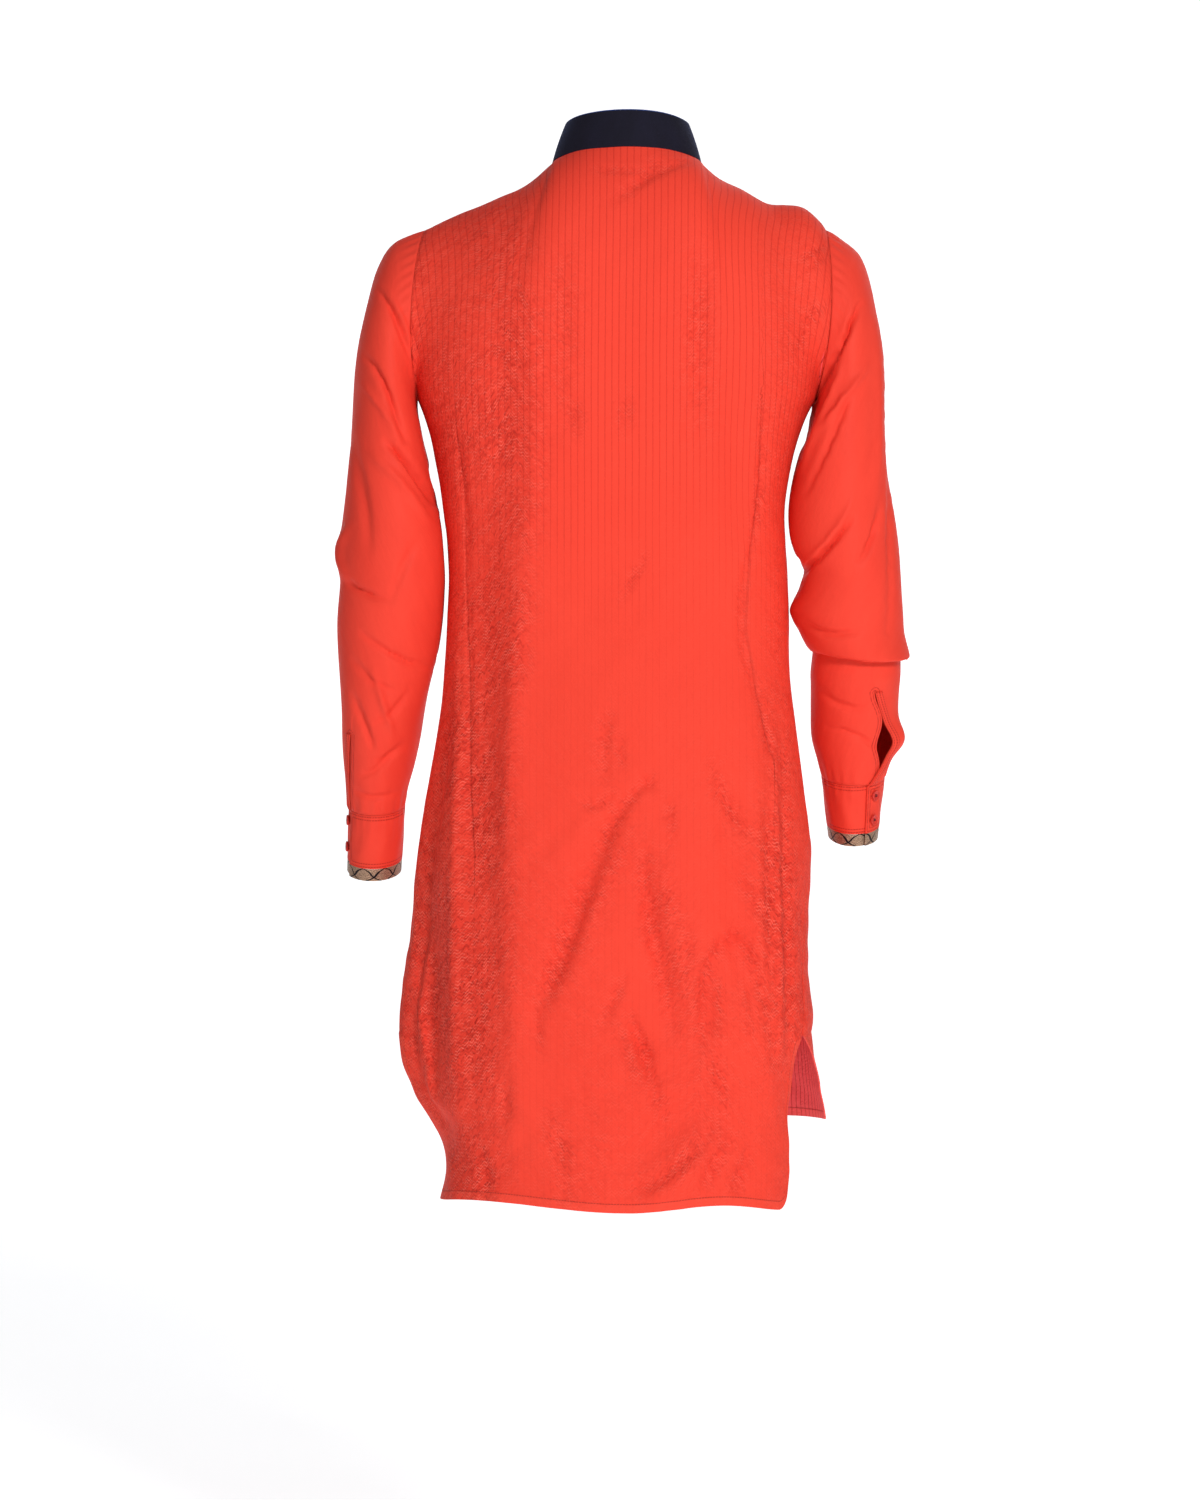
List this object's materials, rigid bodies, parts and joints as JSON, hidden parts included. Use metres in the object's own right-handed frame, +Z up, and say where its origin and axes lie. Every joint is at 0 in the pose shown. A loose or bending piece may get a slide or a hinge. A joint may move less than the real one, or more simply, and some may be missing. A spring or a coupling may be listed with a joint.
{
  "type": "kurta tunic",
  "caption": "Long red silk kurta in worn form with a dark velvet stand collar, set-in sleeves, buttoned cuffs with brocade edging, a front placket and open side slits.",
  "frame": {"origin": "the middle of the neck, level with the points where the collar meets the shoulder seams", "axes": "+Z up, the front faces -Y and the wearer's left is +X"},
  "size_m": [0.5989, 0.2674, 1.1375],
  "materials": {
    "body_silk": "striped crinkled silk",
    "plain_silk": "smooth silk",
    "velvet": "velvet",
    "brocade": "metallic brocade",
    "button": "semi-gloss"
  },
  "bodies": {
    "root": {"back_panel": "body_silk", "front_panel": "body_silk", "placket_top": "body_silk", "placket_under": "body_silk", "collar": "velvet", "sleeve_left": "plain_silk", "sleeve_right": "plain_silk", "slit_strip_left": "plain_silk", "slit_strip_right": "plain_silk", "cuff_left": "plain_silk", "cuff_right": "plain_silk", "cuff_trim_left": "brocade", "cuff_trim_right": "brocade", "cuff_button_left_1": "button", "cuff_button_left_2": "button", "cuff_button_right_1": "button", "cuff_button_right_2": "button", "front_button_1": "button", "front_button_2": "button", "front_button_3": "button", "front_button_4": "button"}
  },
  "joints": []
}
